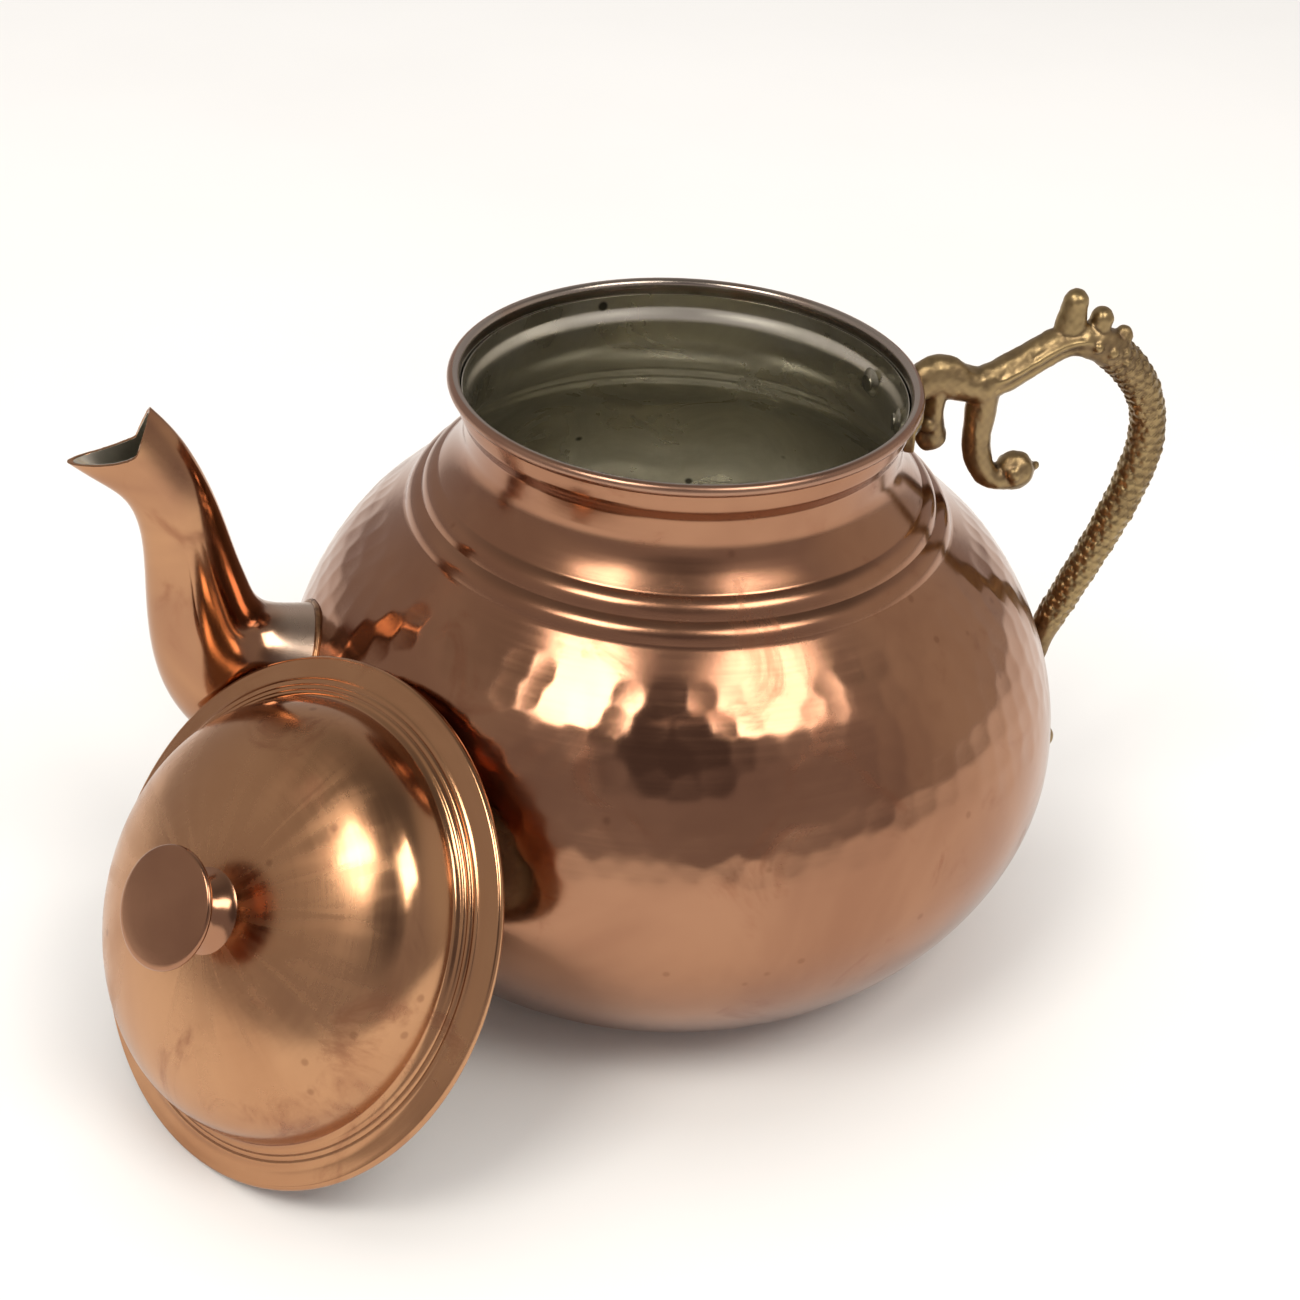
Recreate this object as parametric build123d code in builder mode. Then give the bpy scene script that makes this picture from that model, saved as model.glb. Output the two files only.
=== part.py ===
from build123d import *
from math import cos, hypot, pi, radians, sin
import os

# A squat hammered copper teapot with a tinned inside, a brazed copper spout, a cast brass
# handle riveted to the neck and belly, and a loose domed lid that leans against the pot.
#
# Frame: the origin is the centre of the flat base, +Z is up along the pot's axis,
# the spout points to -X and the handle to +X. All lengths are in millimetres.

# ---------------------------------------------------------------- driving dimensions
body_height = 144.0
base_radius = 54.0
belly_radius = 95.25
belly_height = 52.7
throat_radius = 50.8          # outside of the neck at its narrowest
throat_low = 129.0            # the neck is straight between these two heights
throat_high = 133.0
mouth_low = 137.0             # the mouth is straight from here up to the rolled edge
wall = 1.0                    # copper sheet
tin = 0.2                     # tin lining
bead_pitch = 5.6              # width of one shoulder bead along the wall
bead_rise = 1.1
lip_radius = 1.9              # outside of the rolled edge of the mouth
wire_radius = lip_radius - wall
mouth_radius = 55.0           # outside of the rolled edge

spout_seam = 1.2              # width of the brazed seam round the spout's root

handle_width = 9.0            # across the casting
branch_width = 7.0            # across the scrolls that leave it
lobe_width = 6.5              # across the three lobes of the crest
plate_thickness = 2.6         # of the curved plate that hugs the neck
plate_width = 34.0
plate_low = 127.0
plate_high = 138.8
rivet_radius = 2.0
rivet_play = 0.05             # between a rivet's shank and its hole
rivet_head_radius = 3.6
rivet_head_height = 1.4
neck_rivet_angle = 12.0       # each side of the handle
neck_rivet_height = 133.0
belly_rivet_height = 55.0
foot_reach = 98.6             # how far out the handle's foot reaches at that height

lid_radius = 58.0
lid_wall = 0.9
dome_radius = 48.4
dome_height = 27.8
hem_radius = 1.0              # of the rolled edge of the lid
sleeve_radius = 50.0          # outside of the ring that drops into the mouth
sleeve_depth = 4.0            # below the plane of the lid's edge
sleeve_wall = 1.0
knob_radius = 13.0
knob_height = 40.0            # top of the knob above the plane of the lid's edge
knob_waist = 5.6
washer_radius = 5.5
washer_thickness = 0.8
knob_rod_below = 3.2          # length of the knob's rivet below the top of the dome
knob_rod_above = 6.0          # and above it, inside the knob
knob_base_radius = 9.4        # where the knob's stem meets the dome
knob_base_sink = 1.6          # how far the knob's base reaches down over the dome
knob_base_step = 0.2
knob_waist_height = 32.8
knob_edge = 2.2               # thickness of the knob's disc at its edge
knob_dish = 0.8
ring_rise = 0.5               # of the two raised rings round the dome's foot
lid_lean = 33.3               # angle of the lid's axis above the horizontal
lid_azimuth = 213.0           # where round the pot the lid leans
lid_reach = 116.5             # from the pot's axis to the middle of the lid's edge

# The wall is moved inwards by "inset": 0 is the outside of the copper, "wall" is its inside,
# and "wall + tin" is the inside of the tin.
copper_inside = wall
tin_inside = wall + tin


def inward(point, direction, inset):
    """The point, moved by inset to the left of its direction of travel."""
    length = hypot(direction[0], direction[1])
    return (
        point[0] - inset * direction[1] / length,
        point[1] + inset * direction[0] / length,
    )


# ---------------------------------------------------------------- the wall of the pot
# Stations up the outside of the wall: the point (radius, height) and the wall's direction.
foot_station = ((base_radius, 0.0), (1.0, 0.0))
lower_station = ((75.8, 11.5), (0.7, 0.7))
belly_station = ((belly_radius, belly_height), (0.0, 1.0))
upper_station = ((81.2, 93.6), (-0.58, 0.81))
bead_direction = (-0.68, 0.733)
bead_foot = (64.3, 110.4)
neck_direction = (-0.62, 0.78)
lip_centre = (mouth_radius - lip_radius, body_height - lip_radius)


def along_beads(steps):
    """A point on the straight line that the shoulder beads sit on, in bead widths."""
    return (
        bead_foot[0] + steps * bead_pitch * bead_direction[0],
        bead_foot[1] + steps * bead_pitch * bead_direction[1],
    )


def wall_line(inset):
    """Draw the wall from the edge of the base to the top of the neck, and give its ends."""
    stations = [foot_station, lower_station, belly_station, upper_station]
    stations.append((bead_foot, bead_direction))
    points = [inward(point, direction, inset) for point, direction in stations]
    Spline(*points, tangents=[direction for _, direction in stations])
    for bead in range(2):
        start = inward(along_beads(bead), bead_direction, inset)
        crest = inward(along_beads(bead + 0.5), bead_direction, inset - bead_rise)
        end = inward(along_beads(bead + 1), bead_direction, inset)
        ThreePointArc(start, crest, end)
    neck_foot = inward(along_beads(2), bead_direction, inset)
    throat_foot = (throat_radius - inset, throat_low)
    throat_top = (throat_radius - inset, throat_high)
    mouth_foot = (lip_centre[0] - wire_radius - inset, mouth_low)
    mouth_top = (lip_centre[0] - wire_radius - inset, lip_centre[1])
    Spline(neck_foot, throat_foot, tangents=[neck_direction, (0, 1)])
    Line(throat_foot, throat_top)
    Spline(throat_top, mouth_foot, tangents=[(0, 1), (0, 1)])
    Line(mouth_foot, mouth_top)
    return points[0], mouth_top


# ---------------------------------------------------------------- sections of the spout
# Each station is the back point, the front point (distance out from the axis, height),
# the half width across the spout and how square the section is (2 is an ellipse).
spout_stations = [
    ((78.0, 86.5), (78.0, 50.5), 16.8, 2.2),
    ((90.0, 87.6), (94.0, 50.0), 16.4, 2.2),
    ((96.0, 89.0), (110.0, 53.5), 14.4, 2.1),
    ((99.3, 92.0), (119.8, 65.0), 11.8, 2.1),
    ((101.4, 97.5), (123.8, 80.5), 10.0, 2.0),
    ((103.6, 104.5), (124.0, 97.0), 8.6, 1.9),
    ((105.6, 113.0), (124.2, 110.5), 7.2, 1.8),
    ((109.2, 124.4), (126.6, 119.8), 6.2, 1.7),
    ((114.4, 135.4), (132.6, 125.6), 5.6, 1.6),
    ((121.4, 144.4), (139.6, 132.4), 5.2, 1.5),
]
spout_back_corner = (120.1, 140.7)
spout_side_dip = (123.8, 133.4)
spout_tip = (138.0, 130.6)


def spout_section(back, front, half_width, squareness, inset):
    """Draw one closed section of the spout on the plane through its back and front points."""
    middle = ((back[0] + front[0]) / 2, (back[1] + front[1]) / 2)
    depth = hypot(front[0] - back[0], front[1] - back[1])
    outwards = Vector(-(front[0] - back[0]) / depth, 0, (front[1] - back[1]) / depth)
    plane = Plane(
        origin=(-middle[0], 0, middle[1]),
        x_dir=outwards,
        z_dir=outwards.cross(Vector(0, 1, 0)),
    )
    half_depth = depth / 2 - inset
    half_width = half_width - inset
    power = 2 / squareness
    one_side = []
    for step in range(7):
        angle = pi * step / 6
        along = abs(cos(angle)) ** power * (1 if step < 3 else -1)
        one_side.append((half_depth * along, half_width * sin(angle) ** power))
    other_side = [(along, -across) for along, across in reversed(one_side)]
    with BuildSketch(plane) as section:
        with BuildLine():
            Spline(*one_side, tangents=[(0, 1), (0, -1)])
            Spline(*other_side, tangents=[(0, -1), (0, 1)])
        make_face()
    return section.sketch


def spout_form(inset):
    """The solid inside the spout's surface, moved inwards by inset."""
    sections = [spout_section(*station, inset) for station in spout_stations]
    return loft(sections, mode=Mode.PRIVATE)


def pot_form(inset):
    """The solid inside the pot's wall, moved inwards by inset, with a closed top."""
    with BuildPart(mode=Mode.PRIVATE) as form:
        with BuildSketch(Plane.XZ):
            with BuildLine():
                start, end = wall_line(inset)
                Polyline(end, (0, end[1]), (0, inset), start)
            make_face()
        revolve(axis=Axis.Z)
    return form.part


# What is cut away above the spout's mouth, as seen from the side.
with BuildPart() as beak_cutter:
    with BuildSketch(Plane.XZ):
        with BuildLine():
            Spline(
                (-spout_back_corner[0], spout_back_corner[1]),
                (-spout_side_dip[0], spout_side_dip[1]),
                (-spout_tip[0], spout_tip[1]),
                tangents=[(-0.3, -1), (-1, -0.1)],
            )
            Polyline(
                (-spout_tip[0], spout_tip[1]),
                (-spout_tip[0] - 10, spout_tip[1] - 1),
                (-spout_tip[0] - 10, body_height + 20),
                (-spout_back_corner[0] + 4, body_height + 20),
                (-spout_back_corner[0], spout_back_corner[1]),
            )
        make_face()
    extrude(amount=30, both=True)

spout_outside = spout_form(0)
spout_copper_inside = spout_form(wall)
spout_tin_inside = spout_form(tin_inside)
pot_outside = pot_form(0)
pot_copper_inside = pot_form(copper_inside)
pot_tin_inside = pot_form(tin_inside)

# The shanks of the rivets, and the wider holes that they pass through.
neck_rivet_planes = []
for side in (-1, 1):
    angle = radians(side * neck_rivet_angle)
    neck_rivet_planes.append(
        Plane(
            origin=(throat_radius * cos(angle), throat_radius * sin(angle), neck_rivet_height),
            z_dir=(cos(angle), sin(angle), 0),
        )
    )
belly_rivet_plane = Plane(origin=(belly_radius, 0, belly_rivet_height), z_dir=(1, 0, 0))
foot_thickness = foot_reach - belly_radius


def shank(plane, through, radius):
    """A rod along the plane's normal, from inside the tin to past what the rivet holds."""
    with BuildPart(mode=Mode.PRIVATE) as rod:
        with BuildSketch(plane.offset(-tin_inside - rivet_head_height)):
            Circle(radius)
        extrude(amount=rivet_head_height + tin_inside + through + rivet_head_height)
    return rod.part


neck_shanks = [shank(plane, plate_thickness, rivet_radius) for plane in neck_rivet_planes]
belly_shank = shank(belly_rivet_plane, foot_thickness, rivet_radius)
rivet_holes = [
    shank(plane, plate_thickness, rivet_radius + rivet_play) for plane in neck_rivet_planes
]
rivet_holes.append(shank(belly_rivet_plane, foot_thickness, rivet_radius + rivet_play))

# ---------------------------------------------------------------- body
# The body is one sheet raised into a pot. Its edge is rolled outwards round a wire, and the
# end of the roll stops just short of the neck.
roll_gap = 0.4
with BuildPart() as body_shell:
    with BuildSketch(Plane.XZ):
        with BuildLine():
            foot_out, lip_out = wall_line(0)
            foot_in, lip_in = wall_line(copper_inside)
            Polyline(foot_out, (0, 0), (0, wall), foot_in)
            Line(lip_out, lip_in)
        make_face()
        with Locations(lip_centre):
            Circle(lip_radius)
            Circle(wire_radius, mode=Mode.SUBTRACT)
        with Locations((lip_centre[0] - wire_radius + roll_gap / 2, lip_centre[1] - lip_radius / 2)):
            Rectangle(roll_gap, lip_radius, mode=Mode.SUBTRACT)
    revolve(axis=Axis.Z)
    add(spout_copper_inside, mode=Mode.SUBTRACT)
    add(rivet_holes, mode=Mode.SUBTRACT)
body_shell.part.label = "body_shell"

with BuildPart() as tin_lining:
    with BuildSketch(Plane.XZ):
        with BuildLine():
            foot_out, lip_out = wall_line(copper_inside)
            foot_in, lip_in = wall_line(tin_inside)
            Polyline(foot_out, (0, copper_inside), (0, tin_inside), foot_in)
            Line(lip_out, lip_in)
        make_face()
    revolve(axis=Axis.Z)
    add(spout_copper_inside, mode=Mode.SUBTRACT)
    add(rivet_holes, mode=Mode.SUBTRACT)
tin_lining.part.label = "tin_lining"

with BuildPart() as rim_wire:
    with BuildSketch(Plane.XZ):
        with Locations(lip_centre):
            Circle(wire_radius)
    revolve(axis=Axis.Z)
rim_wire.part.label = "rim_wire"

# ---------------------------------------------------------------- spout
with BuildPart() as spout:
    add(spout_outside)
    add(spout_copper_inside, mode=Mode.SUBTRACT)
    add(beak_cutter.part, mode=Mode.SUBTRACT)
    add(pot_outside, mode=Mode.SUBTRACT)
spout.part.label = "spout"

with BuildPart() as spout_lining:
    add(spout_copper_inside)
    add(spout_tin_inside, mode=Mode.SUBTRACT)
    add(beak_cutter.part, mode=Mode.SUBTRACT)
    add(pot_copper_inside, mode=Mode.SUBTRACT)
spout_lining.part.label = "spout_lining"

# The braze that joins the spout to the belly, laid in the corner between the two.
with BuildPart() as spout_braze:
    add(pot_form(-spout_seam))
    add(spout_form(-spout_seam), mode=Mode.INTERSECT)
    add(pot_outside, mode=Mode.SUBTRACT)
    add(spout_outside, mode=Mode.SUBTRACT)
spout_braze.part.label = "spout_braze"

# ---------------------------------------------------------------- handle
# The casting is drawn from the side, as (distance out from the axis, height).
with BuildPart() as handle:
    with BuildSketch(Plane.XZ):
        with BuildLine():
            # bracket, from the plate up over its hump to the saddle
            Polyline((51.5, 128.0), (51.5, plate_high), (55.6, plate_high + 0.4))
            Spline((55.6, plate_high + 0.4), (60.7, 144.8), (69.9, 140.8), tangents=[(0.4, 1), (1, -0.2)])
            # top of the arm, crest and the outside of the bow
            Spline((69.9, 140.8), (80.8, 146.9), (93.0, 152.6), tangents=[(1, 0.2), (1, 0.35)])
            Spline((93.0, 152.6), (109.4, 145.8), (122.0, 118.0), tangents=[(1, 0.1), (0, -1)])
            Spline((122.0, 118.0), (116.4, 95.4), (106.2, 72.7), (foot_reach, 55.0))
            # foot, and up along the belly
            Polyline((foot_reach, 55.0), (98.2, 46.0), (94.0, 46.0), (92.6, 64.0))
            # inside of the bow
            Spline((92.6, 64.0), (97.9, 73.5), (110.0, 104.6), (112.9, 118.0))
            Spline((112.9, 118.0), (106.6, 134.9), (95.6, 142.8), tangents=[(0, 1), (-1, 0.1)])
            Spline((95.6, 142.8), (82.0, 135.1), (76.8, 126.0), tangents=[(-1, 0.0), (0, -1)])
            # neck of the lower scroll, arch, and the small curl
            Polyline((76.8, 126.0), (69.0, 126.0))
            ThreePointArc((69.0, 129.4), (66.4, 132.2), (63.8, 129.4))
            Line((69.0, 126.0), (69.0, 129.4))
            Polyline((63.8, 129.4), (63.8, 126.5), (58.4, 126.5), (58.0, 128.0), (51.5, 128.0))
        make_face()
    extrude(amount=handle_width / 2, both=True)
    with BuildSketch(Plane.XZ):
        with BuildLine():
            Spline((76.8, 127.0), (76.8, 119.4), (80.0, 114.8), tangents=[(0, -1), (1, -0.4)])
            Polyline((80.0, 114.8), (84.0, 112.3), (82.6, 107.2))
            Spline((82.6, 107.2), (73.2, 111.6), (69.0, 127.0), tangents=[(-1, 0), (0, 1)])
            Line((69.0, 127.0), (76.8, 127.0))
        make_face()
        with Locations((61.1, 124.6)):
            Rectangle(5.4, 5.0)
        with BuildLine():
            Spline((98.3, 50.0), (99.6, 40.6), (104.4, 33.6), tangents=[(-0.1, -1), (0.8, -0.6)])
            Polyline((104.4, 33.6), (103.4, 30.4), (100.8, 28.6))
            Spline((100.8, 28.6), (96.6, 37.0), (95.8, 50.0), tangents=[(-0.8, 0.6), (0, 1)])
            Line((95.8, 50.0), (98.3, 50.0))
        make_face()
    extrude(amount=branch_width / 2, both=True)
    # lobes of the crest
    with BuildSketch(Plane.XZ):
        with Locations((92.8, 155.2)):
            Circle(4.3)
        with Locations((100.2, 151.6)):
            Circle(3.6)
        with Locations((106.4, 147.9)):
            Circle(3.0)
    extrude(amount=lobe_width / 2, both=True)
    # balls that end the two scrolls, the curl and the tail
    with Locations((84.0, 0, 112.3)):
        Sphere(5.2)
    with Locations((61.0, 0, 123.2)):
        Sphere(3.9)
    with Locations((103.4, 0, 30.9)):
        Sphere(3.4)
    # plate that hugs the neck
    with BuildSketch(Plane.XY.offset(plate_low)):
        Circle(throat_radius + plate_thickness)
        with Locations((throat_radius, 0)):
            Rectangle(throat_radius, plate_width, mode=Mode.INTERSECT)
    extrude(amount=plate_high - plate_low)
    add(pot_outside, mode=Mode.SUBTRACT)
    add(rivet_holes, mode=Mode.SUBTRACT)
handle.part.label = "handle"

# ---------------------------------------------------------------- rivets
def rivet_head(plane, height):
    """A domed head on the plane, rising along the plane's normal."""
    swell = (rivet_head_radius**2 - height**2) / (2 * height)
    with BuildPart(mode=Mode.PRIVATE) as head:
        with BuildSketch(Plane(plane.origin, x_dir=plane.x_dir, z_dir=-plane.y_dir)):
            with BuildLine():
                Line((0, 0), (rivet_head_radius, 0))
                RadiusArc((rivet_head_radius, 0), (0, height), -(swell + height))
                Line((0, height), (0, 0))
            make_face()
        revolve(axis=Axis(plane.origin, plane.z_dir))
    return head.part


def inner_head(plane):
    """A head against the tin, cut to the curve of the wall."""
    seat = plane.offset(-tin_inside)
    with BuildPart(mode=Mode.PRIVATE) as head:
        add(rivet_head(Plane(seat.origin, z_dir=-seat.z_dir), rivet_head_height))
        add(pot_tin_inside, mode=Mode.INTERSECT)
    return head.part


with BuildPart() as neck_rivets:
    add(neck_shanks)
    for rivet_plane in neck_rivet_planes:
        add(inner_head(rivet_plane))
        add(rivet_head(rivet_plane.offset(plate_thickness), rivet_head_height))
    add(handle.part, mode=Mode.SUBTRACT)
neck_rivets.part.label = "neck_rivets"

with BuildPart() as belly_rivet:
    add(belly_shank)
    add(inner_head(belly_rivet_plane))
    add(rivet_head(belly_rivet_plane.offset(foot_thickness), rivet_head_height))
    add(handle.part, mode=Mode.SUBTRACT)
belly_rivet.part.label = "belly_rivet"

# ---------------------------------------------------------------- lid
# The lid leans against the belly with its edge on the ground. Its own frame has its origin
# in the middle of the lid's edge, and its Z along the lid's axis, towards the knob.
lean = radians(lid_lean)
round_pot = radians(lid_azimuth)
lid_axis_direction = Vector(cos(lean) * cos(round_pot), cos(lean) * sin(round_pot), sin(lean))
hem_centre = (lid_radius - hem_radius, hem_radius)
lid_middle_height = hem_centre[0] * cos(lean) - hem_centre[1] * sin(lean) + hem_radius
lid_middle = Vector(lid_reach * cos(round_pot), lid_reach * sin(round_pot), lid_middle_height)
level = Vector(-sin(round_pot), cos(round_pot), 0)
lid_side = Plane(origin=lid_middle, x_dir=level, z_dir=level.cross(lid_axis_direction))
lid_axis = Axis(lid_middle, lid_axis_direction)
lid_level = Plane(lid_middle, z_dir=lid_axis_direction)

flange_inner = (51.6, 1.6)
ring_middle = (49.9, 3.4)
dome_foot = (dome_radius, 5.2)
dome_stations = [
    (dome_foot, (0.0, 1.0)),
    ((43.8, 15.7), (-0.683, 0.731)),
    ((29.6, 23.9), (-0.95, 0.313)),
    ((0.0, dome_height), (-1.0, 0.0)),
]


def dome_line(inset):
    """Draw the dome from its foot to the lid's axis, and give its ends."""
    points = [inward(point, direction, inset) for point, direction in dome_stations]
    Spline(*points, tangents=[direction for _, direction in dome_stations])
    return points[0], points[-1]


def ring_arc(start, end):
    """Draw a raised ring of the lid between two points."""
    direction = (end[0] - start[0], end[1] - start[1])
    middle = ((start[0] + end[0]) / 2, (start[1] + end[1]) / 2)
    ThreePointArc(start, inward(middle, direction, -ring_rise), end)


def lid_line(inset):
    """Draw the lid from its flange to its axis, and give its ends."""
    flange_start = inward(hem_centre, (-1, 0.1), inset - hem_radius)
    ring_start = inward(flange_inner, (-0.9, 0.4), inset)
    ring_join = inward(ring_middle, (-0.7, 0.7), inset)
    Line(flange_start, ring_start)
    ring_arc(ring_start, ring_join)
    foot, top = dome_line(inset)
    ring_arc(ring_join, foot)
    return flange_start, top


with BuildPart() as lid_form:
    with BuildSketch(lid_side):
        with BuildLine():
            flange_out, top_out = lid_line(0)
            Polyline(top_out, (0, -1), (flange_out[0], -1), flange_out)
        make_face()
    revolve(axis=lid_axis)



def knob_rod(radius):
    """A rod up the lid's axis, from below the washer to inside the knob."""
    with BuildPart(mode=Mode.PRIVATE) as rod:
        with BuildSketch(lid_level.offset(dome_height - knob_rod_below)):
            Circle(radius)
        extrude(amount=knob_rod_below + knob_rod_above)
    return rod.part


knob_hole = knob_rod(rivet_radius + rivet_play)

with BuildPart() as lid_dome:
    with BuildSketch(lid_side):
        with BuildLine():
            flange_out, top_out = lid_line(0)
            flange_in, top_in = lid_line(lid_wall)
            Line(flange_out, flange_in)
            Line(top_out, top_in)
        make_face()
        with Locations(hem_centre):
            Circle(hem_radius)
    revolve(axis=lid_axis)
    add(knob_hole, mode=Mode.SUBTRACT)
lid_dome.part.label = "lid_dome"

with BuildPart() as lid_lining:
    with BuildSketch(lid_side):
        with BuildLine():
            foot_out, top_out = dome_line(lid_wall)
            foot_in, top_in = dome_line(lid_wall + tin)
            Line(foot_out, foot_in)
            Line(top_out, top_in)
        make_face()
    revolve(axis=lid_axis)
    add(knob_hole, mode=Mode.SUBTRACT)
lid_lining.part.label = "lid_lining"

with BuildPart() as lid_sleeve:
    with BuildSketch(lid_level.offset(-sleeve_depth)):
        Circle(sleeve_radius)
        Circle(sleeve_radius - sleeve_wall, mode=Mode.SUBTRACT)
    extrude(amount=sleeve_depth + flange_inner[1] + 0.6)
    add(lid_dome.part, mode=Mode.SUBTRACT)
lid_sleeve.part.label = "lid_sleeve"

with BuildPart() as lid_knob:
    with BuildSketch(lid_side):
        with BuildLine():
            base_low = dome_height - knob_base_sink
            base_edge = (knob_base_radius, dome_height + knob_base_step)
            disc_low = (knob_radius - 0.4, knob_height - knob_edge)
            disc_top = (knob_radius - 0.6, knob_height)
            disc_middle = (0, knob_height - knob_dish)
            Polyline((0, base_low), (knob_base_radius, base_low), base_edge)
            Spline(
                base_edge,
                (knob_waist, knob_waist_height),
                disc_low,
                tangents=[(-1, 0.3), (1, 0.35)],
            )
            ThreePointArc(disc_low, (knob_radius, knob_height - knob_edge / 2), disc_top)
            Spline(disc_top, disc_middle, tangents=[(-1, -0.2), (-1, 0)])
            Line(disc_middle, (0, base_low))
        make_face()
    revolve(axis=lid_axis)
    add(lid_form.part, mode=Mode.SUBTRACT)
    add(knob_hole, mode=Mode.SUBTRACT)
lid_knob.part.label = "lid_knob"

lid_inside = dome_height - lid_wall - tin
knob_seat = lid_level.offset(lid_inside)
with BuildPart() as knob_washer:
    with BuildSketch(knob_seat):
        Circle(washer_radius)
    extrude(amount=-washer_thickness)
    add(lid_lining.part, mode=Mode.SUBTRACT)
    add(knob_hole, mode=Mode.SUBTRACT)
knob_washer.part.label = "knob_washer"

with BuildPart() as knob_rivet:
    add(knob_rod(rivet_radius))
    washer_face = knob_seat.offset(-washer_thickness)
    add(rivet_head(Plane(washer_face.origin, z_dir=-washer_face.z_dir), rivet_head_height))
knob_rivet.part.label = "knob_rivet"

# ---------------------------------------------------------------- files
os.makedirs("parts", exist_ok=True)
export_step(body_shell.part, "parts/body_shell.step")
export_step(tin_lining.part, "parts/tin_lining.step")
export_step(rim_wire.part, "parts/rim_wire.step")
export_step(spout.part, "parts/spout.step")
export_step(spout_lining.part, "parts/spout_lining.step")
export_step(spout_braze.part, "parts/spout_braze.step")
export_step(handle.part, "parts/handle.step")
export_step(neck_rivets.part, "parts/neck_rivets.step")
export_step(belly_rivet.part, "parts/belly_rivet.step")
export_step(lid_dome.part, "parts/lid_dome.step")
export_step(lid_lining.part, "parts/lid_lining.step")
export_step(lid_sleeve.part, "parts/lid_sleeve.step")
export_step(lid_knob.part, "parts/lid_knob.step")
export_step(knob_washer.part, "parts/knob_washer.step")
export_step(knob_rivet.part, "parts/knob_rivet.step")
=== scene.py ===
"""A squat hammered copper teapot with a tinned inside, a brass handle and a loose domed lid.

All shapes are worked out in millimetres and stored in metres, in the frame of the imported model:
the origin is the middle of the base, +Z is up and the spout points to -X. The lid's pieces are
turned about their own upright axis, and are then leaned on the pot.
"""

import bmesh
import bpy
import math
import numpy as np
from mathutils import Matrix, Vector


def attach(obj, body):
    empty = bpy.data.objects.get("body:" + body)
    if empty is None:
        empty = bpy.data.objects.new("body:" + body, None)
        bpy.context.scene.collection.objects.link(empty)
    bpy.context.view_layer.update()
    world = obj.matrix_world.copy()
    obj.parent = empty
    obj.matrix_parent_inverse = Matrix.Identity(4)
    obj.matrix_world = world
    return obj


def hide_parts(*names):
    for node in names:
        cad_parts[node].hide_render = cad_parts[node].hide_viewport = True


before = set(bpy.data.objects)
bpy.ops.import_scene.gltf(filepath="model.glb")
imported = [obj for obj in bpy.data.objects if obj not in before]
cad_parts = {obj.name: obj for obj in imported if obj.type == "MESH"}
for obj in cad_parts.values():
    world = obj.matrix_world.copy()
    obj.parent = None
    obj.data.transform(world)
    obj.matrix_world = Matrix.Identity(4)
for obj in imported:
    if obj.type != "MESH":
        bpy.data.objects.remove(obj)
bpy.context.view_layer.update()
MM = 0.001
TURN = 2 * math.pi

# ------------------------------------------------------------------ driving dimensions, mm
body_height = 144.0
base_radius = 54.0
belly_radius = 95.2
belly_height = 52.7
throat_radius = 50.8
throat_low = 129.0
throat_high = 133.0
mouth_low = 137.0
wall = 1.0
tin = 0.2
bead_pitch = 5.6
bead_rise = 0.75
bead_steps = 20
bead_foot = np.array((64.3, 110.4))
bead_direction = np.array((-0.68, 0.733))
lip_radius = 1.9
wire_radius = lip_radius - wall
lip_centre = np.array((55.0 - lip_radius, body_height - lip_radius))
roll_radius = 1.42
roll_gap = 0.3

lid_radius = 58.0
lid_wall = 0.9
hem_radius = 1.0
dome_height = 27.8
knob_radius = 13.0
lid_lean = math.radians(33.3)
lid_azimuth = math.radians(213.0)
lid_reach = 116.5

sharp_angle = 35.0        # degrees between two faces that makes their shared edge a sharp one
weld_distance = 2e-6      # metres


# ------------------------------------------------------------------ lines
def unit(v):
    v = np.asarray(v, float)
    return v / np.linalg.norm(v)


def hermite(stations, steps):
    """Points on a smooth line through stations of (point, direction)."""
    line = []
    t = np.linspace(0, 1, steps, endpoint=False)[:, None]
    for (p, dp), (q, dq) in zip(stations, stations[1:]):
        p, q = np.array(p, float), np.array(q, float)
        reach = np.linalg.norm(q - p)
        dp, dq = unit(dp) * reach, unit(dq) * reach
        line.append(
            (2 * t**3 - 3 * t**2 + 1) * p
            + (t**3 - 2 * t**2 + t) * dp
            + (3 * t**2 - 2 * t**3) * q
            + (t**3 - t**2) * dq
        )
    line.append(np.array([stations[-1][0]], float))
    return np.vstack(line)


def cubic(knots, values, at):
    """Natural cubic spline through values at knots, read at the given places."""
    knots, values = np.asarray(knots, float), np.asarray(values, float)
    n, h = len(knots), np.diff(knots)
    a, b = np.eye(n), np.zeros((n,) + values.shape[1:])
    for i in range(1, n - 1):
        a[i, i - 1 : i + 2] = h[i - 1], 2 * (h[i - 1] + h[i]), h[i]
        b[i] = 6 * ((values[i + 1] - values[i]) / h[i] - (values[i] - values[i - 1]) / h[i - 1])
    m = np.linalg.solve(a, b)
    i = np.clip(np.searchsorted(knots, at) - 1, 0, n - 2)
    shape = (-1,) + (1,) * (values.ndim - 1)
    u, v = (at - knots[i]).reshape(shape), (knots[i + 1] - at).reshape(shape)
    w = h[i].reshape(shape)
    return (
        (m[i] * v**3 + m[i + 1] * u**3) / (6 * w)
        + (values[i] / w - m[i] * w / 6) * v
        + (values[i + 1] / w - m[i + 1] * w / 6) * u
    )


def lengths(line):
    """Distance along a line from its start to each of its points."""
    return np.concatenate(([0], np.cumsum(np.linalg.norm(np.diff(line, axis=0), axis=1))))


def resample(line, step):
    """The same line with its points evenly spaced, about a step apart."""
    s = lengths(line)
    at = np.linspace(0, s[-1], max(2, round(s[-1] / step) + 1))
    return np.column_stack([np.interp(at, s, line[:, i]) for i in range(line.shape[1])])


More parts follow.
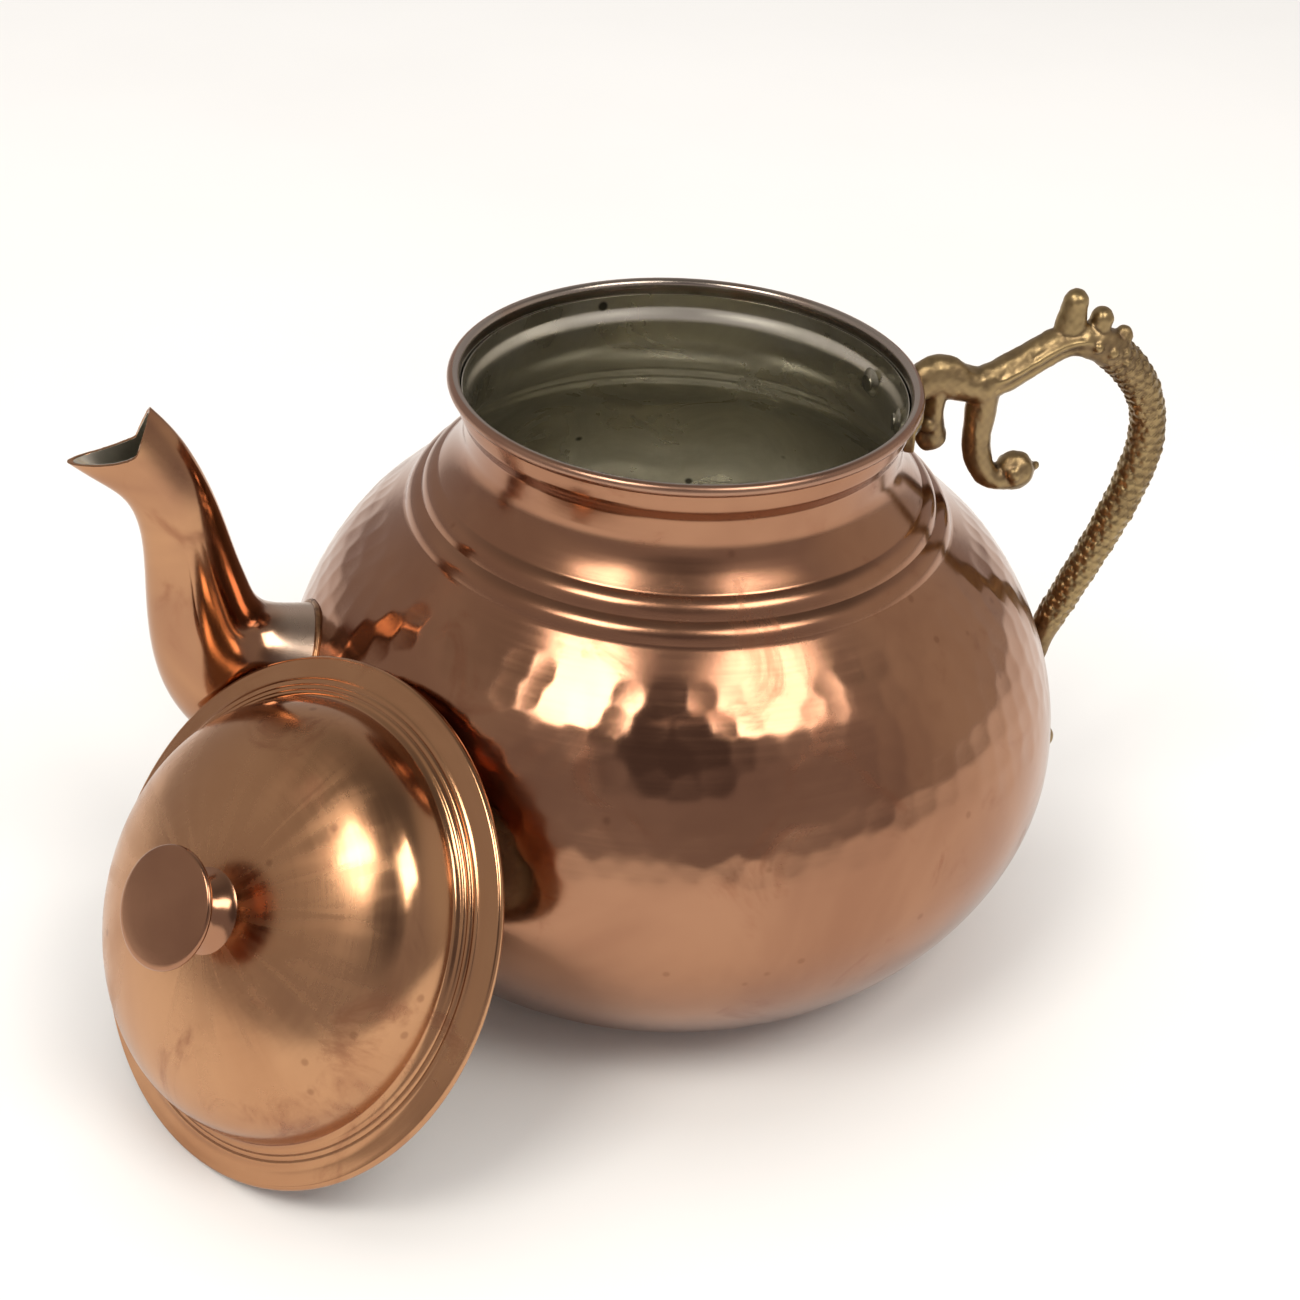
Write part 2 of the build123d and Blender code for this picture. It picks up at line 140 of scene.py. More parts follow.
def normals(line):
    """Unit normals to the right of the line's direction of travel."""
    d = np.gradient(line, axis=0)
    d /= np.maximum(np.linalg.norm(d, axis=1), 1e-9)[:, None]
    return np.column_stack([d[:, 1], -d[:, 0]])


def arc(centre, radius, start, end, steps):
    """Points on a circle between two angles in degrees."""
    a = np.radians(np.linspace(start, end, steps))
    return np.column_stack([centre[0] + radius * np.cos(a), centre[1] + radius * np.sin(a)])


# ------------------------------------------------------------------ meshes
def mesh_object(name, points, faces, sharp=sharp_angle):
    """A welded, smooth-shaded object from points in millimetres."""
    mesh = bpy.data.meshes.new(name)
    mesh.from_pydata((np.asarray(points) * MM).tolist(), [], faces)
    obj = bpy.data.objects.new(name, mesh)
    bpy.context.scene.collection.objects.link(obj)
    clean(mesh)
    finish_mesh(mesh, sharp)
    return obj


def clean(mesh):
    """Weld the points that fall together, and turn every face outwards."""
    b = bmesh.new()
    b.from_mesh(mesh)
    bmesh.ops.remove_doubles(b, verts=b.verts, dist=weld_distance)
    bmesh.ops.recalc_face_normals(b, faces=b.faces)
    b.to_mesh(mesh)
    b.free()


def finish_mesh(mesh, sharp=sharp_angle):
    """Shade the mesh smooth, except across its sharp edges."""
    mesh.polygons.foreach_set("use_smooth", [True] * len(mesh.polygons))
    mesh.set_sharp_from_angle(angle=math.radians(sharp))
    mesh.update()


def grid_faces(rows, columns, close_rows=False):
    """Faces of a grid that closes round its columns."""
    r = np.arange(rows if close_rows else rows - 1)[:, None]
    c = np.arange(columns)[None, :]
    r2, c2 = (r + 1) % rows, (c + 1) % columns
    quads = np.stack([r * columns + c, r * columns + c2, r2 * columns + c2, r2 * columns + c], -1)
    return quads.reshape(-1, 4).tolist()


def end_faces(rows, columns):
    """The two faces that close the first and the last row of a grid."""
    return [list(range(columns)), list(range((rows - 1) * columns, rows * columns))]


def lathe(name, line, columns, relief=None, close=False, sharp=sharp_angle):
    """A closed skin turned from a line of (radius, height), pushed outwards by relief."""
    angle = np.arange(columns) * TURN / columns
    n = normals(line)
    push = np.zeros((len(line), columns)) if relief is None else relief
    r = line[:, :1] + n[:, :1] * push
    z = line[:, 1:] + n[:, 1:] * push
    points = np.stack([r * np.cos(angle), r * np.sin(angle), z + 0 * angle], -1)
    return mesh_object(name, points.reshape(-1, 3), grid_faces(len(line), columns, close), sharp)


def bake(obj):
    """Replace the object's mesh by the one its modifiers make."""
    graph = bpy.context.evaluated_depsgraph_get()
    mesh = bpy.data.meshes.new_from_object(obj.evaluated_get(graph))
    obj.modifiers.clear()
    old = obj.data
    obj.data = mesh
    bpy.data.meshes.remove(old)
    return obj


def cut(obj, cutter):
    """Take the cutter away from the object."""
    boolean = obj.modifiers.new("cut", "BOOLEAN")
    boolean.operation, boolean.solver, boolean.object = "DIFFERENCE", "MANIFOLD", cutter
    bake(obj)
    finish_mesh(obj.data)


# ------------------------------------------------------------------ the pot's wall
outer_step = 0.95         # between rings of points, where the hammer marks go
inner_step = 3.0


def bead(start):
    """One raised bead round the shoulder, from its lower foot on."""
    t = np.linspace(0, 1, bead_steps, endpoint=False)[:, None]
    out = np.array((bead_direction[1], -bead_direction[0]))
    return start + t * bead_pitch * bead_direction + out * bead_rise * np.sin(math.pi * t)


lower_wall = hermite(
    [
        ((base_radius, 0.0), (1.0, 0.0)),
        ((75.8, 11.5), (0.7, 0.7)),
        ((belly_radius, belly_height), (0.0, 1.0)),
        ((81.2, 93.6), (-0.58, 0.81)),
        (bead_foot, bead_direction),
    ],
    60,
)
lower_wall = resample(lower_wall, outer_step)
neck_foot = bead_foot + 2 * bead_pitch * bead_direction
mouth_outside = lip_centre[0] - wire_radius
neck = hermite([(neck_foot, (-0.62, 0.78)), ((throat_radius, throat_low), (0, 1))], 24)
throat = hermite([((throat_radius, throat_high), (0, 1)), ((mouth_outside, mouth_low), (0, 1))], 8)
second_bead = bead_foot + bead_pitch * bead_direction
upper_wall = np.vstack([bead(bead_foot), bead(second_bead), neck, throat])
wall_outside = np.vstack([lower_wall[:-1], upper_wall])


def wall_radius(z):
    """Outside radius of the pot's wall at a height."""
    return np.interp(z, wall_outside[:, 1], wall_outside[:, 0])


def moved_in(line, inset):
    """The line moved towards the metal's inner side."""
    return line - inset * normals(line)


# ------------------------------------------------------------------ hammer marks
mark_width = 7.0          # across one hammer mark
mark_rise = 6.3           # between rows of marks along the wall
mark_depth = 0.115
marks_top = 7.5           # first row's distance below the beads, along the wall
mark_rows = 7
mark_jitter = 0.26        # of a mark's pitch, each way
mark_spread = 0.22        # how much the marks differ in depth, before it is scaled
faint_share = 0.45        # of the last row's marks, which fade out into the plain wall
bowl_edge = 1.25          # squared distance from a mark's middle at which its bowl ends


def hammering(line, angles, seed):
    """Depth of the hammer marks at each point of the wall: shallow bowls that meet in ridges."""
    rng = np.random.default_rng(seed)
    s = lengths(line)
    below = s[-1] - s
    radius = line[:, 0]
    nearest = np.full((len(line), len(angles)), 1e9)
    theta = angles[None, :]
    for row in range(mark_rows):
        place = marks_top + (row + 0.5) * mark_rise
        around = np.interp(-place, -below, radius)
        count = round(TURN * around / mark_width)
        jitter = rng.uniform(-mark_jitter, mark_jitter, (count, 2))
        weight = rng.uniform(-mark_spread, mark_spread, count)
        if row == mark_rows - 1:
            weight = weight + np.where(rng.random(count) < faint_share, 1.2, 0.1)
        centre_angle = (np.arange(count) + 0.5 * (row % 2) + jitter[:, 0]) * TURN / count
        centre_place = place + jitter[:, 1] * mark_rise
        near = np.abs(below - place) < 2.4 * mark_rise
        base = np.floor(theta / TURN * count - 0.5 * (row % 2)).astype(int)
        for step in (-2, -1, 0, 1, 2):
            k = (base + step) % count
            off = (theta - centre_angle[k] + math.pi) % TURN - math.pi
            across = off * radius[near, None]
            along = below[near, None] - centre_place[k]
            size = (mark_width / 2) ** 2
            reach = (across**2 + along**2) / size + weight[k] * 0.6
            nearest[near] = np.minimum(nearest[near], reach)
    return -mark_depth * np.clip(bowl_edge - nearest, 0, None)


columns = 640
base_rings = 14
angles = np.arange(columns) * TURN / columns

base_steps = np.linspace(0, base_radius, base_rings, endpoint=False)
floor_outside = np.column_stack([base_steps, np.zeros(base_rings)])
inner_wall = moved_in(np.vstack([resample(lower_wall, inner_step)[:-1], upper_wall]), wall)[::-1]
inner_wall = inner_wall[inner_wall[:, 1] > wall]
roll_end = math.degrees(math.acos(-(wire_radius - roll_gap) / roll_radius))
wire_end = math.degrees(math.acos(-(wire_radius - roll_gap) / wire_radius))
pot_line = np.vstack(
    [
        floor_outside,
        lower_wall[:-1],
        upper_wall,
        [(mouth_outside, mouth_low + 2)],
        arc(lip_centre, wire_radius, 180, -wire_end, 12),
        arc(lip_centre, roll_radius, -roll_end, 180, 26),
        inner_wall,
        [(0, wall)],
    ]
)
relief = np.zeros((len(pot_line), columns))
first = len(floor_outside)
relief[first : first + len(lower_wall)] = hammering(lower_wall, angles, 11)[: len(lower_wall)]
pot_body = lathe("pot_body", pot_line, columns, relief)

# ------------------------------------------------------------------ the pot's lining
lining_gap = 0.02
lining_outside = moved_in(wall_outside, wall + lining_gap)
lining_inside = moved_in(wall_outside, wall + tin)
lining_inside = lining_inside[lining_inside[:, 1] > wall + tin]
lining_outside = lining_outside[lining_outside[:, 1] > wall + lining_gap]
lining_top = lip_centre[1]
floor_ring_count = 60
floor_rings = np.linspace(0, base_radius, floor_ring_count, endpoint=False)
lining_line = np.vstack(
    [
        [(0, wall + lining_gap)],
        resample(lining_outside, inner_step),
        [(mouth_outside - wall - lining_gap, lining_top - 2)],
        [(mouth_outside - wall - tin, lining_top - 2)],
        lining_inside[::-1],
        np.column_stack([floor_rings, np.full(floor_ring_count, wall + tin)])[::-1],
    ]
)


ripple_waves = 46
ripple_height = 0.6
ripple_lift = 1.1         # keeps nearly all of the lumps above the tin's plain surface
ripple_fade = 16.0        # height over which they fade out


def ripples(line, angles, seed):
    """The rough tin on the bottom: soft lumps that fade out up the wall."""
    rng = np.random.default_rng(seed)
    x = line[:, :1] * np.cos(angles)
    y = line[:, :1] * np.sin(angles)
    lumps = np.zeros_like(x)
    for _ in range(ripple_waves):
        wave = rng.uniform(3.6, 11.0)
        way = rng.uniform(0, TURN)
        phase = rng.uniform(0, TURN)
        swirl = rng.uniform(-1.2, 1.2)
        bend = swirl * np.sin((x * math.sin(way) + y * math.cos(way)) * TURN / (wave * 2.7))
        onward = (x * math.cos(way) - y * math.sin(way)) * TURN / wave
        lumps += np.cos(onward + phase + bend) * wave / 12
    lumps /= math.sqrt(ripple_waves)
    inside = (np.arange(len(line)) > len(line) / 2)[:, None]
    fade = np.clip(1 - (line[:, 1:] - 2) / ripple_fade, 0, 1) * inside
    return ripple_height * (lumps + ripple_lift) * fade


lining_columns = 320
lining_angles = np.arange(lining_columns) * TURN / lining_columns
lining_relief = ripples(lining_line, lining_angles, 5)
tin_lining = lathe("pot_lining", lining_line, lining_columns, lining_relief)

# ------------------------------------------------------------------ the spout
# back (out, up), front (out, up), half width, how sharp the crease along its side is
spout_stations = [
    ((76.0, 86.3), (74.0, 50.5), 16.9, 1.0),
    ((88.0, 87.2), (92.0, 49.6), 16.4, 1.0),
    ((95.6, 88.7), (109.0, 53.0), 14.4, 1.05),
    ((99.2, 91.6), (119.4, 64.4), 12.0, 1.1),
    ((101.3, 97.0), (123.9, 79.5), 10.2, 1.15),
    ((103.4, 104.2), (124.3, 96.0), 8.8, 1.2),
    ((105.6, 113.0), (124.2, 110.2), 7.5, 1.2),
    ((109.0, 124.0), (127.0, 120.2), 6.4, 1.25),
    ((114.2, 135.0), (133.2, 125.9), 5.6, 1.35),
    ((121.6, 144.4), (140.6, 132.2), 5.2, 1.4),
]
backs = np.array([s[0] for s in spout_stations], float)
fronts = np.array([s[1] for s in spout_stations], float)
spans = np.array([(s[2], s[3]) for s in spout_stations], float)
spout_knots = lengths((backs + fronts) / 2)
spout_columns = 96
around = np.arange(spout_columns) * TURN / spout_columns
beak_corner = (123.4, 133.0)
beak_line = np.vstack(
    [
        hermite([((120.1, 141.2), (0.35, -1.0)), (beak_corner, (0.4, -1.0))], 20)[:-1],
        hermite([(beak_corner, (0.9, -0.45)), ((138.6, 130.3), (1.0, -0.05))], 24),
    ]
)


def spout_points(at, inset):
    """Rows of points round the spout at the given distances along it."""
    back, front, span = (cubic(spout_knots, v, at) for v in (backs, fronts, spans))
    middle, half = (back + front) / 2, (front - back) / 2
    depth = np.linalg.norm(half, axis=1)
    out = half / depth[:, None]
    turn = np.cos(around)
    along = np.sign(turn) * np.abs(turn) ** span[:, 1:] * (depth - inset)[:, None]
    across = np.sin(around) * (span[:, :1] - inset)
    x = -(middle[:, :1] + out[:, :1] * along)
    z = middle[:, 1:] + out[:, 1:] * along
    return np.stack([x, across, z], -1)


def past_beak(points):
    """Positive where a point is above the cut of the beak, as seen from the side."""
    x, z = -points[..., 0], points[..., 2]
    side = np.full(x.shape, -1.0)
    best = np.full(x.shape, 1e9)
    for (x0, z0), (x1, z1) in zip(beak_line, beak_line[1:]):
        dx, dz = x1 - x0, z1 - z0
        t = np.clip(((x - x0) * dx + (z - z0) * dz) / (dx * dx + dz * dz), 0, 1)
        away = np.hypot(x - x0 - t * dx, z - z0 - t * dz)
        here = dx * (z - z0) - dz * (x - x0)
        nearer = away < best
        best = np.where(nearer, away, best)
        side = np.where(nearer, here, side)
    return side


spout_samples = 900
root_sink = 0.35          # how far the spout's edge lies inside the face of the pot's wall


def spout_skin(inset, rows):
    """The spout's surface between the pot's wall and the cut of the beak."""
    half_way = spout_samples // 2
    every = range(spout_columns)
    at = np.linspace(0, spout_knots[-1], spout_samples)
    points = spout_points(at, inset)
    from_axis = np.hypot(points[..., 0], points[..., 1])
    inside = from_axis < wall_radius(points[..., 2]) - root_sink
    inside[half_way:] = False
    start = np.array([at[max(np.nonzero(inside[:, c])[0], default=0)] for c in every])
    beyond = past_beak(points) > 0
    beyond[:half_way] = False
    last = spout_samples - 1
    end = np.array([at[min(np.nonzero(beyond[:, c])[0], default=last)] for c in every])
    grid = np.empty((rows, spout_columns, 3))
    for i, w in enumerate(np.linspace(0, 1, rows)):
        places = start + (end - start) * w
        block = spout_points(places, inset)
        grid[i] = block[np.arange(spout_columns), np.arange(spout_columns)]
    return grid


def tube_shell(name, outside, inside, rim):
    """Two skins joined at both ends, with a rounded rim at the far end."""
    edge = (outside[-1] + inside[-1]) / 2
    onward = outside[-1] - outside[-2]
    onward /= np.maximum(np.linalg.norm(onward, axis=1), 1e-6)[:, None]
    rows = np.concatenate([outside, [edge + rim * onward], inside[::-1]])
    return mesh_object(name, rows.reshape(-1, 3), grid_faces(len(rows), spout_columns, True), 50)


spout_rows = 150
spout_outside = spout_skin(0.0, spout_rows)
spout_middle = spout_skin(wall, spout_rows)
spout_inside = spout_skin(wall + tin, spout_rows)
spout = tube_shell("spout_tube", spout_outside, spout_middle, 0.25)
spout_tin_outside = spout_skin(wall + lining_gap, spout_rows)
spout_lining = tube_shell("spout_tin", spout_tin_outside, spout_inside, 0.0)

# the hole through the pot's wall where the spout starts
plug_length = 34.0        # along the spout, from its first station
plug_reach = 14.0         # from there towards the pot's axis
plug_rows = 20
hole_rows = spout_points(np.linspace(0.0, plug_length, plug_rows), wall + tin)
reach_in = hole_rows[:1].copy()
reach_in[..., 0] += plug_reach
plug = np.concatenate([reach_in, hole_rows])
hole_cutter = mesh_object(
    "hole_cutter",
    plug.reshape(-1, 3),
    grid_faces(len(plug), spout_columns) + end_faces(len(plug), spout_columns),
)
cut(pot_body, hole_cutter)
cut(tin_lining, hole_cutter)
bpy.data.objects.remove(hole_cutter)


# ------------------------------------------------------------------ the brazed seam
def ring_along(name, loop, radius, steps, wobble, seed):
    """A closed bead of braze along a loop of points, whose thickness wobbles."""
    rng = np.random.default_rng(seed)
    ahead = np.roll(loop, -1, 0) - np.roll(loop, 1, 0)
    ahead /= np.linalg.norm(ahead, axis=1)[:, None]
    out = loop * (1, 1, 0)
    out /= np.linalg.norm(out, axis=1)[:, None]
    side = np.cross(ahead, out)
    side /= np.linalg.norm(side, axis=1)[:, None]
    turn = np.arange(steps) * TURN / steps
    swell = np.ones(len(loop))
    for k in (3, 5, 8, 13):
        swell += wobble * np.cos(k * np.arange(len(loop)) * TURN / len(loop) + rng.uniform(0, TURN))
    thick = (radius * swell)[:, None, None]
    ring = (
        loop[:, None]
        + thick * np.cos(turn)[None, :, None] * out[:, None]
        + thick * np.sin(turn)[None, :, None] * side[:, None]
    )
    return mesh_object(name, ring.reshape(-1, 3), grid_faces(len(loop), steps, True), 80)


braze_radius = 0.85
braze_lift = 0.45         # of the bead's middle line, away from the pot's axis
root_loop = spout_outside[0].copy()
root_loop[:, :2] *= (1 + braze_lift / np.hypot(root_loop[:, 0], root_loop[:, 1]))[:, None]
spout_seam = ring_along("spout_seam", root_loop, braze_radius, steps=14, wobble=0.06, seed=3)


# ------------------------------------------------------------------ the handle
rod_sides = 28
rod_step = 0.8


def rod(stations):
    """A closed rod along stations of (out, up, half thickness, half width)."""
    table = np.array(stations, float)
    knots = lengths(table[:, :2])
    at = np.linspace(0, knots[-1], max(6, round(knots[-1] / rod_step)))
    dense = cubic(knots, table, at)
    ahead = np.gradient(dense[:, :2], axis=0)
    ahead /= np.linalg.norm(ahead, axis=1)[:, None]
    turn = np.arange(rod_sides) * TURN / rod_sides
    rows = []
    caps = [(math.sin(a), math.cos(a)) for a in np.linspace(-math.pi / 2, 0, 5)[:-1]]
    for back, scale in caps:
        rows.append((dense[0], ahead[0], back, max(scale, 0.02)))
    rows += [(d, a, 0.0, 1.0) for d, a in zip(dense, ahead)]
    for back, scale in reversed(caps):
        rows.append((dense[-1], ahead[-1], -back, max(scale, 0.02)))
    points = []
    for (x, z, thick, wide), (ax, az), slide, scale in rows:
        cx, cz = x + ax * slide * thick, z + az * slide * thick
        n = thick * scale * np.cos(turn)
        points.append(np.column_stack([cx - az * n, wide * scale * np.sin(turn), cz + ax * n]))
    faces = grid_faces(len(points), rod_sides) + end_faces(len(points), rod_sides)
    return np.vstack(points), faces


def ball(x, y, z, radius, stretch=(1, 1, 1)):
    """Points and faces of a ball, stretched along the three axes."""
    b = bmesh.new()
    bmesh.ops.create_uvsphere(b, u_segments=rod_sides, v_segments=18, radius=radius)
    points = np.array([v.co for v in b.verts]) * stretch + (x, y, z)
    faces = [[v.index for v in f.verts] for f in b.faces]
    b.free()
    return points, faces


bow = [
    (71.5, 135.6, 4.4, 4.2),
    (78.6, 139.0, 4.3, 4.2),
    (86.0, 143.4, 4.0, 4.2),
    (93.0, 146.6, 4.0, 4.4),
    (99.6, 145.7, 4.5, 4.5),
    (105.6, 142.0, 4.6, 4.5),
    (110.6, 137.2, 4.5, 4.5),
    (114.5, 131.4, 4.4, 4.5),
    (117.4, 118.0, 4.4, 4.5),
    (115.5, 107.0, 4.5, 4.4),
    (111.8, 95.8, 4.2, 4.3),
    (107.2, 84.6, 4.0, 4.2),
    (102.2, 73.1, 3.7, 4.1),
    (97.9, 62.0, 3.0, 4.2),
    (97.1, 54.0, 1.5, 4.6),
]
neck_arm = [
    (55.0, 136.0, 3.6, 4.2),
    (60.6, 138.9, 5.4, 4.3),
    (67.4, 136.9, 4.5, 4.2),
    (73.5, 136.0, 4.4, 4.2),
]
foot_and_tail = [
    (97.1, 62.0, 1.4, 4.6),
    (97.0, 55.0, 1.5, 5.6),
    (96.9, 48.0, 1.5, 4.6),
    (98.4, 40.5, 2.0, 3.5),
    (101.4, 34.2, 2.2, 3.2),
    (103.4, 31.4, 2.2, 3.2),
]
lower_scroll = [
    (73.2, 134.0, 4.0, 3.8),
    (72.9, 127.0, 3.7, 3.6),
    (73.1, 120.5, 3.5, 3.5),
    (74.8, 114.6, 3.3, 3.4),
    (78.6, 111.0, 3.1, 3.4),
    (82.4, 111.0, 3.4, 3.6),
]
parts = [
    rod(neck_arm),
    rod(bow),
    rod(foot_and_tail),
    rod(lower_scroll),
    # the scroll's eye
    ball(84.0, 0, 112.3, 5.0, (1, 0.86, 1)),
    ball(89.2, 0, 113.2, 1.0),
    ball(82.6, -3.0, 113.0, 2.0),
    ball(82.6, 3.0, 113.0, 2.0),
    # the small curl at the neck
    rod([(60.6, 136.5, 3.0, 3.8), (60.9, 130.0, 2.7, 3.4), (61.6, 124.6, 2.7, 3.3)]),
    ball(61.0, 0, 123.4, 3.8, (1, 0.9, 1)),
    ball(59.4, -1.6, 127.4, 2.1),
    ball(59.4, 1.6, 127.4, 2.1),
    # the tail's end
    ball(103.4, 0, 30.9, 3.3, (1, 0.9, 1)),
    # the three lobes of the crest
    rod([(92.6, 147.5, 4.3, 3.6), (92.6, 152.0, 3.6, 3.2), (92.9, 156.1, 2.9, 2.9)]),
    ball(93.0, 0, 156.3, 3.0),
    rod([(99.4, 147.5, 3.2, 3.2), (100.2, 151.2, 2.7, 2.8)]),
    ball(100.3, 0, 151.6, 2.8),
    rod([(104.8, 144.0, 2.6, 3.0), (106.6, 147.0, 2.1, 2.3)]),
    ball(106.7, 0, 147.2, 2.1),
]
# studs beside the crest
for side in (-1, 1):
    parts.append(ball(98.6, side * 4.2, 146.0, 1.35))
    parts.append(ball(102.6, side * 4.2, 144.4, 1.35))
    parts.append(ball(106.2, side * 4.1, 142.0, 1.2))


def plate():
    """The curved plate of the handle that hugs the neck."""
    low, high, half = 127.0, 138.8, 17.0
    round_off = 3.2
    steps_up, steps_round = 14, 40
    sides = []
    for grow in (0.12, 2.6):  # the two faces' distances from the neck
        for i in range(steps_up + 1):
            z = low + (high - low) * i / steps_up
            for j in range(steps_round + 1):
                u = 2 * j / steps_round - 1
                bulge = (1 - abs(2 * i / steps_up - 1) ** 3) ** 0.5
                a = u * (half - round_off + round_off * bulge) / throat_radius
                r = wall_radius(z) + grow
                sides.append((r * math.cos(a), r * math.sin(a), z))
    w, count = steps_round + 1, (steps_up + 1) * (steps_round + 1)
    faces = []
    for i in range(steps_up):
        for j in range(steps_round):
            k = i * w + j
            faces.append([k, k + 1, k + w + 1, k + w])
            faces.append([count + k, count + k + w, count + k + w + 1, count + k + 1])
    loop = list(range(w))
    loop += [i * w + w - 1 for i in range(1, steps_up + 1)]
    loop += [steps_up * w + j for j in range(w - 2, -1, -1)]
    loop += [i * w for i in range(steps_up - 1, 0, -1)]
    for a, b in zip(loop, loop[1:] + loop[:1]):
        faces.append([a, a + count, b + count, b])
    return np.array(sides), faces


parts.append(plate())
handle_voxel = 0.36
all_points, all_faces, used = [], [], 0
for points, faces in parts:
    all_points.append(points)
    all_faces += [[i + used for i in face] for face in faces]
    used += len(points)
handle = mesh_object("handle_casting", np.vstack(all_points), all_faces)
remesh = handle.modifiers.new("fuse", "REMESH")
remesh.mode, remesh.voxel_size = "VOXEL", handle_voxel * MM
bake(handle)
smooth = handle.modifiers.new("soften", "SMOOTH")
smooth.factor, smooth.iterations = 0.5, 5
bake(handle)


bow_girth = 4.4           # radius that turns an angle round the bow into a distance
scale_pitch = 2.3         # between rows of scales, along the bow
scale_width = 3.1
scale_height = 0.42
scales_start = 34.0       # along the bow
scales_end = 12.0         # before the bow's last station
arm_end = 30.0            # where the chased lines stop, along the bow
flank_from = 1.8          # from the middle plane, for the chased lines
skin_waves = 30
plain_gap = 0.7           # from the pot's wall, within which nothing is pressed in


def chase(obj):
    """Press the scales of the bow, the chased lines along the flanks of its arm and the casting's
    unevenness in.
    """
    rng = np.random.default_rng(21)
    mesh = obj.data
    count = len(mesh.vertices)
    co, no = np.empty(count * 3), np.empty(count * 3)
    mesh.vertices.foreach_get("co", co)
    mesh.vertices.foreach_get("normal", no)
    co, no = co.reshape(-1, 3) / MM, no.reshape(-1, 3)
    table = np.array(bow)
    knots = lengths(table[:, :2])
    s = np.linspace(0, knots[-1], 260)
    line = cubic(knots, table, s)
    ahead = np.gradient(line[:, :2], axis=0)
    ahead /= np.linalg.norm(ahead, axis=1)[:, None]
    apart = (co[:, None, 0] - line[None, :, 0]) ** 2 + (co[:, None, 2] - line[None, :, 1]) ** 2
    i = apart.argmin(1)
    near = np.sqrt(apart.min(1)) < line[i, 2] + 1.2
    off = co[:, [0, 2]] - line[i, :2]
    n = off[:, 0] * -ahead[i, 1] + off[:, 1] * ahead[i, 0]
    t = off[:, 0] * ahead[i, 0] + off[:, 1] * ahead[i, 1]
    place = s[i] + t
    angle = np.arctan2(co[:, 1] / line[i, 3], n / line[i, 2])
    girth = angle * bow_girth
    push = np.zeros(count)
    # overlapping scales on the bow
    lane = girth / scale_width
    row = np.floor(place / scale_pitch)
    g = (lane + 0.5 * (row % 2)) % 1 - 0.5
    f = (place / scale_pitch + 0.42 * (4 * g * g)) % 1
    scale = (1 - f) ** 1.3 * (1 - 0.5 * (2 * g) ** 2)
    start, end = scales_start, knots[-1] - scales_end
    weight = np.clip((place - start) / 4, 0, 1) * np.clip((end - place) / 4, 0, 1) * near
    push += weight * (scale_height * scale - 0.18)
    # a chased line along each flank of the arm
    on_side = np.abs(co[:, 1]) > flank_from
    flank = np.exp(-(((n - 0.9) / 0.75) ** 2)) * on_side
    arm = np.clip((place - 3) / 3, 0, 1) * np.clip((arm_end - place) / 5, 0, 1) * near
    push += 0.75 * flank * arm
    groove = np.exp(-(((n + 0.9) / 0.6) ** 2)) * on_side
    push -= 0.35 * groove * arm
    # uneven casting skin
    for _ in range(skin_waves):
        wave = rng.uniform(1.6, 7.0)
        way = unit(rng.normal(size=3))
        push += 0.02 * math.sqrt(wave) * np.cos(co @ way * TURN / wave + rng.uniform(0, TURN)) / 2
    from_axis = np.hypot(co[:, 0], co[:, 1])
    push = np.where(from_axis < wall_radius(co[:, 2]) + plain_gap, 0, push)
    co += no * push[:, None]
    mesh.vertices.foreach_set("co", (co * MM).ravel())
    finish_mesh(mesh, 180)


chase(handle)

# ------------------------------------------------------------------ the lid
lid_z = Vector(
    (
        math.cos(lid_lean) * math.cos(lid_azimuth),
        math.cos(lid_lean) * math.sin(lid_azimuth),
        math.sin(lid_lean),
    )
)
lid_x = Vector((-math.sin(lid_azimuth), math.cos(lid_azimuth), 0))
lid_y = lid_z.cross(lid_x)
hem = np.array((lid_radius - hem_radius, hem_radius))
lid_up = hem[0] * math.cos(lid_lean) - hem[1] * math.sin(lid_lean) + hem_radius
lid_at = Vector((lid_reach * math.cos(lid_azimuth), lid_reach * math.sin(lid_azimuth), lid_up))
lid_turn = Matrix((lid_x, lid_y, lid_z)).transposed().to_4x4()
lid_matrix = Matrix.Translation(lid_at * MM) @ lid_turn


def lean_on_pot(piece):
    """Put a piece of the lid in its leaning place, and keep where each point was for its finish."""
    mesh = piece.data
    place = np.empty(len(mesh.vertices) * 3)
    mesh.vertices.foreach_get("co", place)
    mesh.attributes.new("own_place", "FLOAT_VECTOR", "POINT").data.foreach_set("vector", place)
    mesh.transform(lid_matrix)
    mesh.update()


dome_foot = np.array((48.4, 5.2))
dome_outside = hermite(
    [
        (dome_foot, (-0.18, 1.0)),
        ((43.8, 15.7), (-0.683, 0.731)),
        ((29.6, 23.9), (-0.95, 0.313)),
        ((0.0, dome_height), (-1.0, 0.0)),
    ],
    30,
)


def raised_ring(start, end, rise, steps=8):
    """A ring between two points of the lid's line, raised in the middle."""
    start, end = np.array(start), np.array(end)
    t = np.linspace(0, 1, steps, endpoint=False)[:, None]
    way = unit(end - start)
    return start + t * (end - start) + np.array((way[1], -way[0])) * rise * (1 - (2 * t - 1) ** 2)


